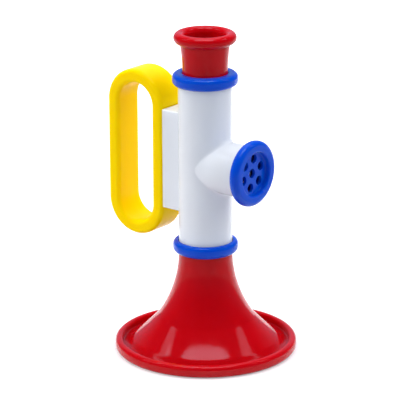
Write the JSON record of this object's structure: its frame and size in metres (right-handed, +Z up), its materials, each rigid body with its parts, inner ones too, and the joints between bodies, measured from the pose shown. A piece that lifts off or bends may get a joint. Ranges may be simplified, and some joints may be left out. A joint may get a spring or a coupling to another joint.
{
  "type": "toy trumpet",
  "caption": "Toddler's toy trumpet that stands on its flared bell, with a looped carrying handle, a reed in its round mouthpiece and a sprung perforated valve button on a side branch.",
  "frame": {"origin": "middle of the footprint's box, on the surface that the bell's rim stands on", "axes": "+Z up the blowing tube from bell to mouthpiece, +X out along the side branch to the valve button, -X out to the carrying handle"},
  "size_m": [0.1136, 0.1025, 0.1832],
  "materials": {
    "red_plastic": "glossy moulded ABS, red",
    "blue_plastic": "glossy moulded ABS, royal blue",
    "white_plastic": "glossy moulded ABS, cool white",
    "yellow_plastic": "glossy moulded ABS, lemon yellow",
    "black_rubber": "soft moulded rubber",
    "zinc_steel": "zinc-plated steel",
    "brass": "rolled brass strip"
  },
  "bodies": {
    "body": {"bell": "red_plastic", "lower_ring": "blue_plastic", "body_tube": "white_plastic", "upper_ring": "blue_plastic", "mouthpiece": "red_plastic", "reed_holder": "white_plastic", "reed_wedge": "white_plastic", "handle": "yellow_plastic", "handle_screw_upper": "zinc_steel", "handle_screw_lower": "zinc_steel", "port_plate": "white_plastic", "button_spring": "zinc_steel"},
    "button": {"side_button": "blue_plastic", "valve_carrier": "blue_plastic", "valve_pad": "black_rubber"},
    "reed": {"reed_tongue": "brass"}
  },
  "joints": [
    {"name": "button_press", "type": "slide", "parent": "body", "child": "button", "axis": [-1, 0, 0], "range_m": [0, 0.003], "stiffness_N_per_m": 300, "deforming": ["button_spring"]},
    {"name": "reed_flex", "type": "hinge", "parent": "body", "child": "reed", "pos_m": [0.00576, 0, 0.1435], "axis": [0, 1, 0], "range_deg": [-1.5, 1.5], "stiffness_Nm_per_rad": 0.002}
  ]
}
